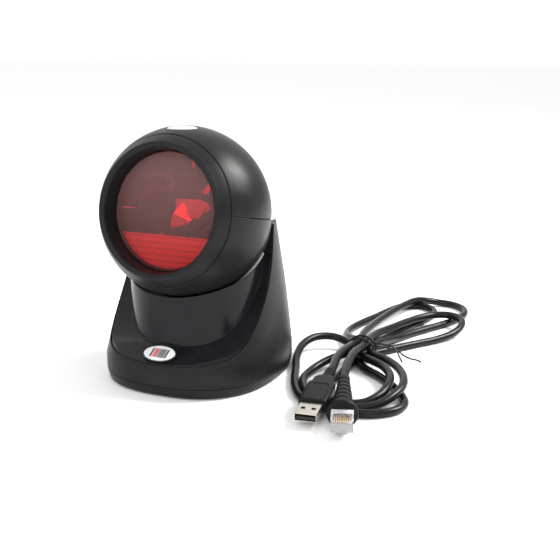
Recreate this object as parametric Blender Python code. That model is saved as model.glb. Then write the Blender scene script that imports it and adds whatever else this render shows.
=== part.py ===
"""Presentation barcode scanner: a ball-shaped laser head that tilts in a two-armed stand,
with its detachable data lead lying beside it.

The model is drawn in millimetres and stored in metres, +Z up, -Y is the scanner's front.
The origin is on the floor under the ball, 2.2 mm in front of the middle of the stand's footprint."""

import math

import bmesh
import bpy
from mathutils import Matrix, Vector

MM = 0.001
GAP = 0.3            # clearance between neighbouring pieces

# ---- head: a ball whose own axis w points out of the window, v is up, u is right
BALL_R = 50.0
BALL_CENTRE = Vector((0.0, -12.5, 100.0))
HEAD_PITCH = math.radians(10.9)
HEAD_WALL = 2.2
SEAM_W = 25.9        # plane between the bezel and the rear covers
RIM_R = 37.4         # crest of the mouth's rounded rim
RIM_W = 32.6
MOUTH_R = 34.8
WINDOW_R = 33.6
WINDOW_FRONT_W = 21.9
WINDOW_THICK = 2.0
LABEL_TOP_V = -13.5
STUD_DEG = -82.0     # direction of the guide stud below the ball, from +Y towards +Z
SLOT_FROM_DEG = -97.5
SLOT_TO_DEG = -58.5
LENS_HALF_X = 9.4
LENS_HALF_Y = 8.2
LENS_LEAN = math.radians(2.5)   # how far forward of the top it sits

# ---- stand
SHELL_BOTTOM = 6.8
SHELL_TOP = 92.6
SHELL_WALL = 2.4
SHELF_THICK = 2.2
CUP_R = 51.6         # cradle under the ball
ARM_CUP_R = 50.6     # closer clearance beside the arm tips
COVER_TOP = 75.6
ARM_SOLID_Z = 76.0   # above this the arms are solid
COLUMN_HALF_X = 41.8
COLUMN_HALF_Y = 43.5
COLUMN_Y = 5.0
COLUMN_POWER = 2.1
SHELF_CROWN = 4.4    # rise of the shelf's middle above the rim, at the column's foot
DIP_HALF_X = 39.0
DIP_FLOOR = 60.0
BASE_SCREW_X = 36.0
BASE_SCREW_ROWS = (-36.5, 41.0)
JACK_Y = 45.1
JACK_Z = 18.0
JACK_HOLE_R = 10.2
# side view of the rim that sweeps from the front lip up to the arm tips, as (y, z)
RIM_SWEEP = [(-66.0, 12.5), (-53.5, 18.4), (-45.0, 20.5), (-35.1, 23.8), (-28.2, 28.1),
             (-22.3, 33.1), (-15.0, 41.0), (-8.5, 49.2), (-1.9, 59.5), (3.9, 72.4),
             (7.9, 84.3), (11.3, 95.6), (13.5, 105.0)]

# ---- optics, in the head's own u, v, w
MOTOR_W = -16.0
POLYGON_R = 13.0
POLYGON_HALF_W = 4.5
POLYGON_MID_W = -5.5
MIRROR_RING_R = 27.0
MIRROR_ANGLES_DEG = (18.0, 90.0, 162.0, 234.0, 306.0)
BOARD_W = -30.0

# ---- data lead on the floor to the scanner's right
CORD_R = 2.5
PLUG_FRONT = Vector((118.8, -66.0, 7.6))
PLUG_BACK = Vector((99.2, -10.8, 13.1))
USB_FRONT = Vector((96.0, -59.8, 6.2))
USB_BACK = Vector((89.0, -4.4, 13.3))
PLUG_TAIL = [(98.9, -9.9, 13.2), (95.9, 1.0, 14.0), (92.8, 15.0, 14.4), (90.6, 29.0, 14.0),
             (89.6, 44.0, 12.6)]
USB_TAIL = [(88.9, -3.5, 13.4), (87.6, 3.0, 13.9), (85.0, 14.0, 14.3), (83.3, 28.0, 14.0),
            (82.9, 44.0, 12.6)]
NECK_CENTRE = (86.2, 8.4)     # x and z of the tied waist, which runs along Y
NECK_FROM_Y = 46.0
NECK_TO_Y = 62.0

COLOURS = {  # colour, roughness, metallic
    "charcoal": ((0.035, 0.036, 0.038), 0.55, 0.0),
    "gloss_black": ((0.012, 0.012, 0.014), 0.18, 0.0),
    "inner_black": ((0.02, 0.02, 0.02), 0.7, 0.0),
    "window_red": ((0.10, 0.02, 0.02), 0.08, 0.0),
    "label_red": ((0.65, 0.03, 0.03), 0.45, 0.0),
    "lens_grey": ((0.62, 0.64, 0.60), 0.35, 0.0),
    "badge_white": ((0.85, 0.85, 0.85), 0.3, 0.0),
    "rubber": ((0.02, 0.02, 0.02), 0.85, 0.0),
    "steel": ((0.45, 0.45, 0.46), 0.35, 1.0),
    "nickel": ((0.62, 0.58, 0.52), 0.25, 1.0),
    "brass": ((0.72, 0.52, 0.22), 0.3, 1.0),
    "board_green": ((0.02, 0.16, 0.06), 0.5, 0.0),
    "mirror": ((0.75, 0.75, 0.78), 0.03, 1.0),
    "acetal": ((0.75, 0.74, 0.70), 0.4, 0.0),
    "clear": ((0.80, 0.80, 0.82), 0.1, 0.0),
    "pvc_black": ((0.03, 0.03, 0.032), 0.4, 0.0),
}


# ---------------------------------------------------------------- tools
def clear_scene():
    for item in list(bpy.data.objects):
        bpy.data.objects.remove(item, do_unlink=True)


def material(name):
    found = bpy.data.materials.get(name)
    if found:
        return found
    colour, roughness, metallic = COLOURS[name]
    made = bpy.data.materials.new(name)
    made.use_nodes = True
    shader = made.node_tree.nodes["Principled BSDF"]
    shader.inputs["Base Color"].default_value = (*colour, 1.0)
    shader.inputs["Roughness"].default_value = roughness
    shader.inputs["Metallic"].default_value = metallic
    return made


def store(name, bm, finish, place=Matrix.Identity(4), parent=None):
    """Turns a bmesh in millimetres into an object in metres at its place."""
    bmesh.ops.remove_doubles(bm, verts=bm.verts, dist=1e-4)
    bmesh.ops.recalc_face_normals(bm, faces=bm.faces)
    bmesh.ops.scale(bm, vec=(MM, MM, MM), verts=bm.verts)
    mesh = bpy.data.meshes.new(name)
    bm.to_mesh(mesh)
    bm.free()
    mesh.materials.append(material(finish))
    mesh.shade_smooth()
    mesh.set_sharp_from_angle(angle=math.radians(35))
    made = bpy.data.objects.new(name, mesh)
    bpy.context.scene.collection.objects.link(made)
    world = place.copy()
    world.translation = place.translation * MM
    if parent:
        made.parent = parent
        made.matrix_parent_inverse = parent.matrix_world.inverted()
    made.matrix_world = world
    return made


def loft(name, rings, finish, **where):
    """A closed solid through rings of equal length, capped at both ends."""
    bm = bmesh.new()
    rows = [[bm.verts.new(point) for point in ring] for ring in rings]
    count = len(rows[0])
    for low, high in zip(rows, rows[1:]):
        for i in range(count):
            j = (i + 1) % count
            bm.faces.new((low[i], low[j], high[j], high[i]))
    bm.faces.new(list(reversed(rows[0])))
    bm.faces.new(rows[-1])
    return store(name, bm, finish, **where)


def prism(name, outline, low, high, finish, **where):
    """An outline in local X and Y, extruded from low to high along local Z."""
    rings = [[(x, y, low) for x, y in outline], [(x, y, high) for x, y in outline]]
    return loft(name, rings, finish, **where)


def block(name, centre, size, finish, **where):
    cx, cy, cz = centre
    hx, hy, hz = (side / 2 for side in size)
    corners = [(cx - hx, cy - hy), (cx + hx, cy - hy), (cx + hx, cy + hy), (cx - hx, cy + hy)]
    return prism(name, corners, cz - hz, cz + hz, finish, **where)


def circle(radius, count, x=0.0, y=0.0):
    turns = (2 * math.pi * i / count for i in range(count))
    return [(x + radius * math.cos(turn), y + radius * math.sin(turn)) for turn in turns]


def rod(name, radius, low, high, finish, count=20, x=0.0, y=0.0, **where):
    return prism(name, circle(radius, count, x, y), low, high, finish, **where)


def turned(name, profile, finish, count=48, angle=2 * math.pi, **where):
    """A closed profile of (r, w) points turned about local Z, with its ends capped."""
    bm = bmesh.new()
    full = angle > 2 * math.pi - 1e-6
    rows = []
    for i in range(count if full else count + 1):
        c, s = math.cos(angle * i / count), math.sin(angle * i / count)
        rows.append([bm.verts.new((r * c, r * s, w)) for r, w in profile])
    if full:
        rows.append(rows[0])
    for near, far in zip(rows, rows[1:]):
        for j in range(len(profile)):
            k = (j + 1) % len(profile)
            if profile[j][0] > 0 or profile[k][0] > 0:
                bm.faces.new((near[j], near[k], far[k], far[j]))
    if not full:
        bm.faces.new(list(reversed(rows[0])))
        bm.faces.new(rows[-1])
    bmesh.ops.remove_doubles(bm, verts=bm.verts, dist=1e-4)
    return store(name, bm, finish, **where)


def superellipse(half_x, half_y, power, centre_y, count):
    points = []
    for i in range(count):
        turn = 2 * math.pi * i / count
        c, s = math.cos(turn), math.sin(turn)
        x = half_x * math.copysign(abs(c) ** (2 / power), c)
        y = half_y * math.copysign(abs(s) ** (2 / power), s)
        points.append((x, y + centre_y))
    return points


def smooth_through(points, steps):
    """Catmull-Rom curve through points, without the two end points themselves."""
    found = []
    for a, b, c, d in zip(points, points[1:], points[2:], points[3:]):
        a, b, c, d = (Vector(p) for p in (a, b, c, d))
        for k in range(steps):
            t = k / steps
            found.append(0.5 * (2 * b + (c - a) * t + (2 * a - 5 * b + 4 * c - d) * t * t
                                + (3 * b - a - 3 * c + d) * t ** 3))
    found.append(Vector(points[-2]))
    return found


def combine(target, tool, operation):
    """Boolean of target with tool, which stays in the file as a wire guide."""
    step = target.modifiers.new(tool.name, "BOOLEAN")
    step.operation = operation
    step.solver = "EXACT"
    step.object = tool
    tool.hide_render = True
    tool.display_type = "WIRE"


def ball(name, centre, radius, count=44):
    arc = [(radius * math.sin(math.pi * i / 22), radius * math.cos(math.pi * i / 22))
           for i in range(23)]
    arc[0] = (0.0, radius)
    arc[-1] = (0.0, -radius)
    return turned(name, arc, "charcoal", count=count, place=Matrix.Translation(centre))


def across(place_y, place_z):
    """Local Z along world X, at a height and depth."""
    turn = Matrix(((0, 0, 1, 0), (1, 0, 0, 0), (0, 1, 0, 0), (0, 0, 0, 1)))
    return Matrix.Translation((0, place_y, place_z)) @ turn


# ---------------------------------------------------------------- stand
def stand_section(z, inset, count=48):
    """Plan of the stand at a height: it narrows and rounds off towards the arms."""
    t = min(max((z - 16.0) / (SHELL_TOP - 16.0), 0.0), 1.0)
    foot = 1.6 * min(max((6.5 - z) / 6.5, 0.0), 1.0)
    half_x = 52.9 - 7.0 * t - foot - inset
    half_y = 55.7 - 17.3 * t - foot - inset
    centre_y = 2.2 + 4.5 * math.sin(math.pi / 2 * min(1.6 * t, 1.0))
    return [(x, y, z) for x, y in superellipse(half_x, half_y, 2.5 - 0.5 * t, centre_y, count)]


def stand_loft(name, heights, inset):
    return loft(name, [stand_section(z, inset) for z in heights], "charcoal")


def rim_line(inset):
    """The rim curve as (y, z) points, moved back by inset."""
    line = smooth_through(RIM_SWEEP, 3)
    moved = []
    for i, point in enumerate(line):
        ahead = line[min(i + 1, len(line) - 1)] - line[max(i - 1, 0)]
        moved.append(tuple(point + Vector((ahead.y, -ahead.x)).normalized() * inset))
    return moved


def before_rim(name, inset):
    """Everything in front of and above the rim curve, moved back by inset."""
    points = rim_line(inset)
    points += [(points[-1][0], 140.0), (-90.0, 140.0), (-90.0, points[0][1])]
    return prism(name, points, -75.0, 75.0, "charcoal", place=across(0, 0))


def behind_rim(name, inset):
    points = rim_line(inset)
    points += [(90.0, points[-1][1]), (90.0, -5.0), (points[0][0], -5.0)]
    return prism(name, points, -75.0, 75.0, "charcoal", place=across(0, 0))


def shelf_slab(name):
    """The sloping shelf across the whole width, flush with the rim at its edges."""
    edge, under = rim_line(0.0), rim_line(SHELF_THICK)
    rings = []
    for x in (-75.0, -46.0, -38.0, -28.0, -17.0, -6.0, 6.0, 17.0, 28.0, 38.0, 46.0, 75.0):
        across_rise = SHELF_CROWN * max(1.0 - (x / 46.0) ** 2, 0.0)
        ring = []
        for y, z in edge + list(reversed(under)):
            rise = min(max((y + 52.5) / 14.0, 0.0), 1.0) * min(max((2.0 - y) / 16.0, 0.0), 1.0)
            ring.append((x, y, z + across_rise * rise))
        rings.append(ring)
    return loft(name, rings, "gloss_black")


def rear_dip(name, grow):
    """U-shaped opening behind the ball, between the arms."""
    half, floor, top, power = DIP_HALF_X + grow, DIP_FLOOR - grow, SHELL_TOP + 0.5, 2.4
    points = []
    for i in range(19):
        turn = math.pi * i / 18
        c, s = math.cos(turn), math.sin(turn)
        x = half * math.copysign(abs(c) ** (2 / power), c)
        points.append((x, top - (top - floor) * abs(s) ** (2 / power)))
    points += [(-half, 125.0), (half, 125.0)]
    outline = [(x, -z) for x, z in points]
    facing = Matrix(((1, 0, 0, 0), (0, 0, 1, 0), (0, -1, 0, 0), (0, 0, 0, 1)))
    return prism(name, outline, -6.0, 75.0, "charcoal", place=facing)


def make_stand_shell():
    heights = [SHELL_BOTTOM, 16.0, 28.0, 40.0, 52.0, 64.0, 76.0, 88.0, SHELL_TOP]
    shell = stand_loft("stand_shell", heights, 0.0)
    hollow = stand_loft("cut_shell_hollow", [5.0, 16.0, 28.0, 40.0, 52.0, 64.0, ARM_SOLID_Z],
                        SHELL_WALL)
    combine(shell, hollow, "DIFFERENCE")
    for x in (-BASE_SCREW_X, BASE_SCREW_X):
        for y in BASE_SCREW_ROWS:
            boss = rod(f"add_shell_boss_{x:.0f}_{y:.0f}", 4.4, SHELL_BOTTOM + 0.1, 22.0,
                       "charcoal", count=16, x=x, y=y)
            combine(shell, boss, "UNION")
            hole = rod(f"cut_shell_screw_{x:.0f}_{y:.0f}", 1.7, 0.0, 18.0, "charcoal",
                       count=12, x=x, y=y)
            combine(shell, hole, "DIFFERENCE")
    rebate = stand_loft("cut_rebate", [15.0, 28.0, 40.0, 52.0, 64.0, 76.0], 0.6)
    combine(rebate, before_rim("cut_rebate_front", SHELF_THICK + GAP), "INTERSECT")
    combine(shell, rebate, "DIFFERENCE")
    combine(shell, before_rim("cut_front", 0.0), "DIFFERENCE")
    combine(shell, rear_dip("cut_rear_dip", 0.0), "DIFFERENCE")
    combine(shell, ball("cut_arm_cup", BALL_CENTRE, ARM_CUP_R), "DIFFERENCE")
    outlet = Matrix.Translation((0, 0, JACK_Z)) @ Matrix.Rotation(math.radians(-90), 4, "X")
    combine(shell, rod("cut_outlet", JACK_HOLE_R, 48.0, 70.0, "charcoal", count=32,
                       place=outlet), "DIFFERENCE")


def make_inner_cover():
    """Gloss cover: the sloping shelf, the column in front and the cradle under the ball."""
    cover = shelf_slab("inner_cover")
    plan = stand_loft("keep_cover_plan", [13.0, 28.0, 40.0, 52.0, 64.0, COVER_TOP], 0.9)
    combine(cover, plan, "INTERSECT")
    outline = superellipse(COLUMN_HALF_X, COLUMN_HALF_Y, COLUMN_POWER, COLUMN_Y, 48)
    column = prism("add_column", outline, 20.0, COVER_TOP, "gloss_black")
    combine(column, before_rim("keep_column_front", 1.1), "INTERSECT")
    combine(cover, column, "UNION")
    outline = superellipse(COLUMN_HALF_X - 2.2, COLUMN_HALF_Y - 2.2, COLUMN_POWER, COLUMN_Y, 48)
    hollow = prism("cut_column_hollow", outline, 5.0, 85.0, "gloss_black")
    combine(hollow, ball("keep_cradle", BALL_CENTRE, CUP_R + 1.9), "DIFFERENCE")
    combine(cover, hollow, "DIFFERENCE")
    cradle = ball("add_cradle", BALL_CENTRE, CUP_R + 2.2)
    combine(cradle, rear_dip("add_dip_lining", 2.2), "UNION")
    combine(cradle, stand_loft("keep_cradle_plan", [28.0, 40.0, 52.0, 64.0, COVER_TOP],
                               SHELL_WALL + GAP), "INTERSECT")
    combine(cradle, behind_rim("keep_cradle_back", 0.5), "INTERSECT")
    combine(cover, cradle, "UNION")
    combine(cover, ball("cut_cup", BALL_CENTRE, CUP_R), "DIFFERENCE")
    combine(cover, rear_dip("cut_cover_dip", 0.0), "DIFFERENCE")
    return cover


def make_base():
    plate = stand_loft("base_plate", [0.9, 6.5], 0.0)
    combine(plate, stand_loft("cut_base_tray", [3.2, 9.0], 2.6), "DIFFERENCE")
    pad_outline = superellipse(33.0, 33.0, 2.5, 2.2, 40)
    combine(plate, prism("cut_pad_pocket", superellipse(33.4, 33.4, 2.5, 2.2, 40), -1.0, 1.6, "charcoal"), "DIFFERENCE")
    prism("rubber_pad", pad_outline, 0.0, 1.3, "rubber")
    corner = 0
    for x in (-BASE_SCREW_X, BASE_SCREW_X):
        for y in BASE_SCREW_ROWS:
            corner += 1
            post = rod(f"add_base_post_{corner}", 4.6, 2.5, 6.4, "charcoal", count=16, x=x, y=y)
            combine(plate, post, "UNION")
            combine(plate, rod(f"cut_base_shank_{corner}", 1.7, 0.0, 9.0, "charcoal", count=12,
                               x=x, y=y), "DIFFERENCE")
            combine(plate, rod(f"cut_base_head_{corner}", 3.2, -1.0, 3.6, "charcoal", count=16,
                               x=x, y=y), "DIFFERENCE")
            profile = [(0.0, 1.2), (2.8, 1.2), (2.8, 3.3), (1.3, 3.3), (1.3, 15.0), (0.0, 15.5)]
            turned(f"base_screw_{corner}", profile, "steel", count=16,
                   place=Matrix.Translation((x, y, 0)))
    block("ballast_plate", (0, -1.0, 6.8), (56.0, 52.0, 6.2), "steel")


def make_jack():
    housing = block("jack_housing", (0, JACK_Y, JACK_Z), (16.0, 15.0, 14.0), "inner_black")
    facing = Matrix.Translation((0, JACK_Y, JACK_Z)) @ Matrix.Rotation(math.radians(-90), 4, "X")
    flange = rod("add_jack_flange", JACK_HOLE_R - 0.5, 7.0, 9.5, "inner_black", count=32,
                 place=facing)
    combine(housing, flange, "UNION")
    combine(housing, block("cut_jack_cavity", (0, JACK_Y + 5.0, JACK_Z), (12.4, 17.0, 8.4),
                           "inner_black"), "DIFFERENCE")
    block("jack_contacts", (0, JACK_Y + 2.0, JACK_Z + 3.2), (9.6, 8.0, 1.0), "brass")
    block("jack_board", (0, JACK_Y - 8.9, JACK_Z), (28.0, 1.6, 20.0), "board_green")


def make_badge():
    """Small oval plate on the shelf, below the column."""
    tilt = Matrix.Rotation(math.radians(28.0), 4, "X")
    place = Matrix.Translation((0, -46.0, 23.2)) @ tilt
    prism("front_badge", superellipse(10.4, 6.2, 2.0, 0.0, 36), 0.5, 1.3, "badge_white",
          place=place)


def stud_place():
    """Local Z from the ball's centre out through the guide stud."""
    turn = math.radians(STUD_DEG)
    outward = Vector((0, math.cos(turn), math.sin(turn)))
    side = Vector((1, 0, 0))
    matrix = Matrix((side, outward.cross(side), outward)).transposed().to_4x4()
    return Matrix.Translation(BALL_CENTRE) @ matrix


def make_guide(cover):
    """Hollow stud through the cradle and the ball's slot, with its clamp, spring and nut."""
    place = stud_place()
    combine(cover, rod("cut_stud_hole", 3.4, 45.0, 60.0, "gloss_black", place=place),
            "DIFFERENCE")
    turned("guide_stud", [(1.6, 42.2), (3.0, 42.2), (3.0, 54.4), (6.0, 54.4), (6.0, 56.4),
                          (1.6, 56.4)], "steel", count=24, place=place)
    turned("clamp_plate", [(3.4, 45.9), (5.4, 45.9), (5.4, 47.1), (3.4, 47.1)], "acetal",
           count=24, place=place)
    turned("clamp_spring", [(3.4, 44.9), (5.0, 44.9), (5.0, 45.5), (3.4, 45.5)], "steel",
           count=24, place=place)
    turned("clamp_ring", [(3.3, 43.2), (5.0, 43.2), (5.0, 44.5), (3.3, 44.5)], "steel",
           count=24, place=place)


# ---------------------------------------------------------------- head
def head_frame():
    """Local X right, Y up and Z out of the window, at the ball's centre."""
    c, s = math.cos(HEAD_PITCH), math.sin(HEAD_PITCH)
    turn = Matrix(((1, 0, 0, 0), (0, s, -c, 0), (0, c, s, 0), (0, 0, 0, 1)))
    return Matrix.Translation(BALL_CENTRE) @ turn


def arc_points(radius, start_w, end_w, steps):
    """Points (r, w) on a circle about the centre, from one w to another."""
    first, last = math.asin(start_w / radius), math.asin(end_w / radius)
    angles = (first + (last - first) * i / steps for i in range(steps + 1))
    return [(radius * math.cos(a), radius * math.sin(a)) for a in angles]


def make_bezel(head):
    outer = arc_points(BALL_R, SEAM_W + 0.15, 31.2, 2)
    rim = [(38.4, 32.1), (RIM_R, RIM_W), (36.2, 32.5), (35.3, 31.9), (MOUTH_R, 31.0)]
    wall = [(34.1, WINDOW_FRONT_W - 2.3), (32.7, WINDOW_FRONT_W - 2.3),
            (32.7, WINDOW_FRONT_W - 4.5), (36.6, WINDOW_FRONT_W - 4.5), (36.9, 24.0),
            (39.6, SEAM_W + 0.15)]
    turned("front_bezel", outer + rim + wall, "charcoal", count=44, **head)


def make_window(head):
    low = WINDOW_FRONT_W - WINDOW_THICK
    profile = [(0.0, low), (0.0, WINDOW_FRONT_W), (WINDOW_R, WINDOW_FRONT_W), (WINDOW_R, low)]
    turned("scan_window", profile, "window_red", count=48, **head)
    film_r = 32.3
    half = math.acos(LABEL_TOP_V / film_r) - math.pi / 2
    outline = []
    for i in range(21):
        turn = math.pi + half + (math.pi - 2 * half) * i / 20
        outline.append((film_r * math.cos(turn), film_r * math.sin(turn)))
    prism("window_label", outline, low - 0.8, low - 0.4, "label_red", **head)


def make_cover(name, flip, head):
    """Half of the ball behind the seam."""
    rear = arc_points(BALL_R, SEAM_W - 0.15, -BALL_R, 11)
    rear[-1] = (0.0, -BALL_R)
    inside = arc_points(BALL_R - HEAD_WALL, -(BALL_R - HEAD_WALL), SEAM_W - 0.15, 8)
    inside[0] = (0.0, -(BALL_R - HEAD_WALL))
    place = head["place"] @ Matrix.Rotation(math.pi if flip else 0.0, 4, "Z")
    place = place @ Matrix.Translation((0, 0.15, 0))
    return turned(name, rear + inside, "charcoal", count=20, angle=math.pi, place=place,
                  parent=head["parent"])


def screw_towers(upper, lower, head):
    """Two posts in each cover, joined by long screws from below."""
    u, w = 27.0, -22.0
    stand = head["place"] @ Matrix.Rotation(math.radians(-90), 4, "X")
    within = ball("keep_posts", BALL_CENTRE, BALL_R - 1.0)
    for side, x in (("left", -u), ("right", u)):
        here = {"x": x, "y": -w, "place": stand, "parent": head["parent"]}
        top = rod(f"add_upper_post_{side}", 3.6, 0.4, 40.0, "inner_black", count=16, **here)
        combine(top, within, "INTERSECT")
        combine(upper, top, "UNION")
        low = rod(f"add_lower_post_{side}", 3.6, -40.0, -0.4, "inner_black", count=16, **here)
        combine(low, within, "INTERSECT")
        combine(lower, low, "UNION")
        combine(upper, rod(f"cut_upper_thread_{side}", 1.6, -2.0, 12.0, "inner_black",
                           count=12, **here), "DIFFERENCE")
        combine(lower, rod(f"cut_lower_thread_{side}", 1.6, -40.0, 2.0, "inner_black",
                           count=12, **here), "DIFFERENCE")
        combine(lower, rod(f"cut_lower_head_{side}", 2.9, -50.0, -26.0, "inner_black",
                           count=16, **here), "DIFFERENCE")
        profile = [(0.0, -28.6), (2.5, -28.6), (2.5, -26.4), (1.25, -26.4), (1.25, 9.5),
                   (0.0, 10.0)]
        place = stand @ Matrix.Translation((x, -w, 0))
        turned(f"cover_screw_{side}", profile, "steel", count=16, place=place,
               parent=head["parent"])


def make_slot(lower):
    """Curved slot under the ball that rides over the guide stud."""
    start = Matrix.Rotation(math.radians(SLOT_FROM_DEG), 4, "Z")
    profile = [(43.0, -3.4), (55.0, -3.4), (55.0, 3.4), (43.0, 3.4)]
    slot = turned("cut_guide_slot", profile, "charcoal", count=12,
                  angle=math.radians(SLOT_TO_DEG - SLOT_FROM_DEG),
                  place=across(BALL_CENTRE.y, BALL_CENTRE.z) @ start)
    combine(lower, slot, "DIFFERENCE")


def make_status_lens(upper, head):
    """Oval frosted lens let into the top of the ball, with its lamp below."""
    spot = Matrix.Translation(BALL_CENTRE) @ Matrix.Rotation(LENS_LEAN, 4, "X")
    pocket = prism("cut_lens_pocket", superellipse(LENS_HALF_X + 0.5, LENS_HALF_Y + 0.5, 2.0,
                                                   0.0, 36), 45.0, 60.0, "charcoal",
                   place=spot)
    floor = prism("add_lens_floor", superellipse(LENS_HALF_X + 2.5, LENS_HALF_Y + 2.5, 2.0,
                                                 0.0, 36), 43.0, 48.0, "charcoal", place=spot)
    combine(upper, floor, "UNION")
    combine(upper, pocket, "DIFFERENCE")
    combine(upper, rod("cut_lamp_hole", 3.0, 40.0, 47.0, "charcoal", place=spot), "DIFFERENCE")
    rings = []
    for scale, z in ((1.0, 45.4), (1.0, 48.5), (0.93, 49.1), (0.7, 49.65), (0.4, 49.9)):
        ring = superellipse(LENS_HALF_X * scale, LENS_HALF_Y * scale, 2.0, 0.0, 36)
        rings.append([(x, y, z) for x, y in ring])
    loft("status_lens", rings, "lens_grey", place=spot, parent=head["parent"])
    rod("status_lamp", 2.4, 40.2, 44.9, "clear", count=16, place=spot, parent=head["parent"])


def make_optics(head):
    """Frame, motor, laser, mirrors, detector and board inside the ball."""
    frame = turned("optical_frame", [(9.5, -14.6), (37.5, -14.6), (37.5, -12.6), (9.5, -12.6)],
                   "inner_black", count=40, **head)
    for index, degrees in enumerate(MIRROR_ANGLES_DEG):
        spin = Matrix.Rotation(math.radians(degrees), 4, "Z")
        holder = {"place": head["place"] @ spin, "parent": head["parent"]}
        post = block(f"add_mirror_post_{index}", (33.5, 0, -9.5), (3.4, 12.0, 7.0),
                     "inner_black", **holder)
        combine(frame, post, "UNION")
        lean = spin @ Matrix.Translation((MIRROR_RING_R, 0, -3.0))
        lean = lean @ Matrix.Rotation(math.radians(-50), 4, "Y")
        block(f"pattern_mirror_{index + 1}", (0, 0, 0), (15.0, 20.0, 1.4), "mirror",
              place=head["place"] @ lean, parent=head["parent"])
    turned("motor_stator", [(0.0, -27.0), (12.0, -27.0), (12.0, -16.0), (6.0, -16.0),
                            (6.0, -14.0), (2.2, -14.0), (2.2, -20.0), (0.0, -20.0)],
           "steel", count=28, **head)
    rod("laser_module", 4.2, 14.8, 31.0, "brass", count=24,
        place=head["place"] @ Matrix.Translation((0, 0, -7.0))
        @ Matrix.Rotation(math.radians(54), 4, "Z") @ Matrix.Rotation(math.radians(90), 4, "Y"),
        parent=head["parent"])
    dish = [(3.0, 0.0), (13.0, 4.2), (13.0, 5.6), (3.0, 1.4)]
    lean = Matrix.Translation((9.0, -6.0, 4.0)) @ Matrix.Rotation(math.radians(-24), 4, "X")
    turned("collecting_mirror", dish, "mirror", count=28,
           place=head["place"] @ lean, parent=head["parent"])
    block("detector_board", (-13.0, 17.0, 8.0), (16.0, 11.0, 1.6), "board_green", **head)
    rod("photodetector", 3.0, 9.1, 12.0, "inner_black", count=20, x=-13.0, y=17.0, **head)
    board = rod("main_board", 33.0, BOARD_W - 0.8, BOARD_W + 0.8, "board_green", count=40, **head)
    for side, x in (("left", -27.0), ("right", 27.0)):
        notch = block(f"cut_board_notch_{side}", (x * 1.25, 0, BOARD_W), (24.0, 70.0, 4.0),
                      "board_green", **head)
        combine(board, notch, "DIFFERENCE")
    foot = block("cut_board_foot", (0, -34.0, BOARD_W), (70.0, 20.0, 4.0), "board_green", **head)
    combine(board, foot, "DIFFERENCE")
    turned("beeper", [(1.2, -36.5), (1.2, -38.5), (6.0, -38.5), (6.0, -31.2), (0.0, -31.2),
                      (0.0, -36.5)], "inner_black", count=24,
           place=head["place"] @ Matrix.Translation((0, 13.0, 0)), parent=head["parent"])
    block("board_connector", (0, -14.0, BOARD_W - 4.2), (18.0, 6.0, 6.0), "acetal", **head)


def make_rotor(head):
    """Spinning mirror: four facets on a hub, each leaning by its own amount."""
    low, high = POLYGON_MID_W - POLYGON_HALF_W, POLYGON_MID_W + POLYGON_HALF_W
    wide, narrow = [], []
    for i in range(4):
        turn = math.pi / 2 * i + math.pi / 4
        wide.append((POLYGON_R * math.cos(turn), POLYGON_R * math.sin(turn)))
        shrink = POLYGON_R * (0.86 - 0.03 * i)
        narrow.append((shrink * math.cos(turn), shrink * math.sin(turn)))
    rings = [[(x, y, low) for x, y in wide], [(x, y, high) for x, y in narrow]]
    spinner = loft("polygon_mirror", rings, "mirror", **head)
    combine(spinner, rod("cut_rotor_bore", 4.6, low - 2, high + 2, "mirror", count=24, **head),
            "DIFFERENCE")
    turned("rotor_hub", [(0.0, -19.6), (1.9, -19.6), (1.9, -12.4), (7.0, -12.4), (7.0, low - 0.3),
                         (4.3, low - 0.3), (4.3, high + 0.6), (0.0, high + 0.6)],
           "steel", count=28, **head)


# ---------------------------------------------------------------- data lead
def along(start, end):
    """Local Z from start to end, with local Y as near to world up as it can be."""
    forward = (end - start).normalized()
    side = forward.cross(Vector((0, 0, 1))).normalized()
    up = side.cross(forward)
    turn = Matrix((side, up, forward)).transposed().to_4x4()
    return Matrix.Translation(start) @ turn


def rectangle(half_x, half_y, x=0.0, y=0.0):
    return [(x - half_x, y - half_y), (x + half_x, y - half_y), (x + half_x, y + half_y),
            (x - half_x, y + half_y)]


def make_modular_plug():
    place = along(PLUG_FRONT, PLUG_BACK)
    body = prism("plug_body", rectangle(5.85, 3.3), 0.0, 12.6, "clear", place=place)
    combine(body, prism("cut_contact_slots", rectangle(4.9, 1.2, 0.0, 3.3), -1.0, 8.2, "clear",
                        place=place), "DIFFERENCE")
    prism("plug_contacts", rectangle(4.5, 0.4, 0.0, 2.8), 0.4, 7.8, "brass", place=place)
    latch = [(-3.7, 0.6), (-4.6, 0.6), (-6.6, 8.0), (-6.6, 11.6), (-5.7, 11.6), (-5.5, 8.0)]
    prism("plug_latch", latch, -3.0, 3.0, "clear", place=place @ across(0, 0))
    profile = [(0.0, 13.0), (8.1, 13.0), (8.4, 13.6), (8.4, 16.2), (7.8, 17.0), (6.1, 17.6)]
    for i in range(6):
        start = 19.0 + 5.4 * i
        radius = 6.0 - 0.44 * i
        profile += [(radius, start), (radius - 0.2, start + 3.0), (radius - 1.2, start + 3.3),
                    (radius - 1.2, start + 4.9)]
    profile += [(3.4, 52.0), (2.9, 57.9), (0.0, 57.9)]
    turned("plug_boot", profile, "pvc_black", count=16, place=place)


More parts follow.
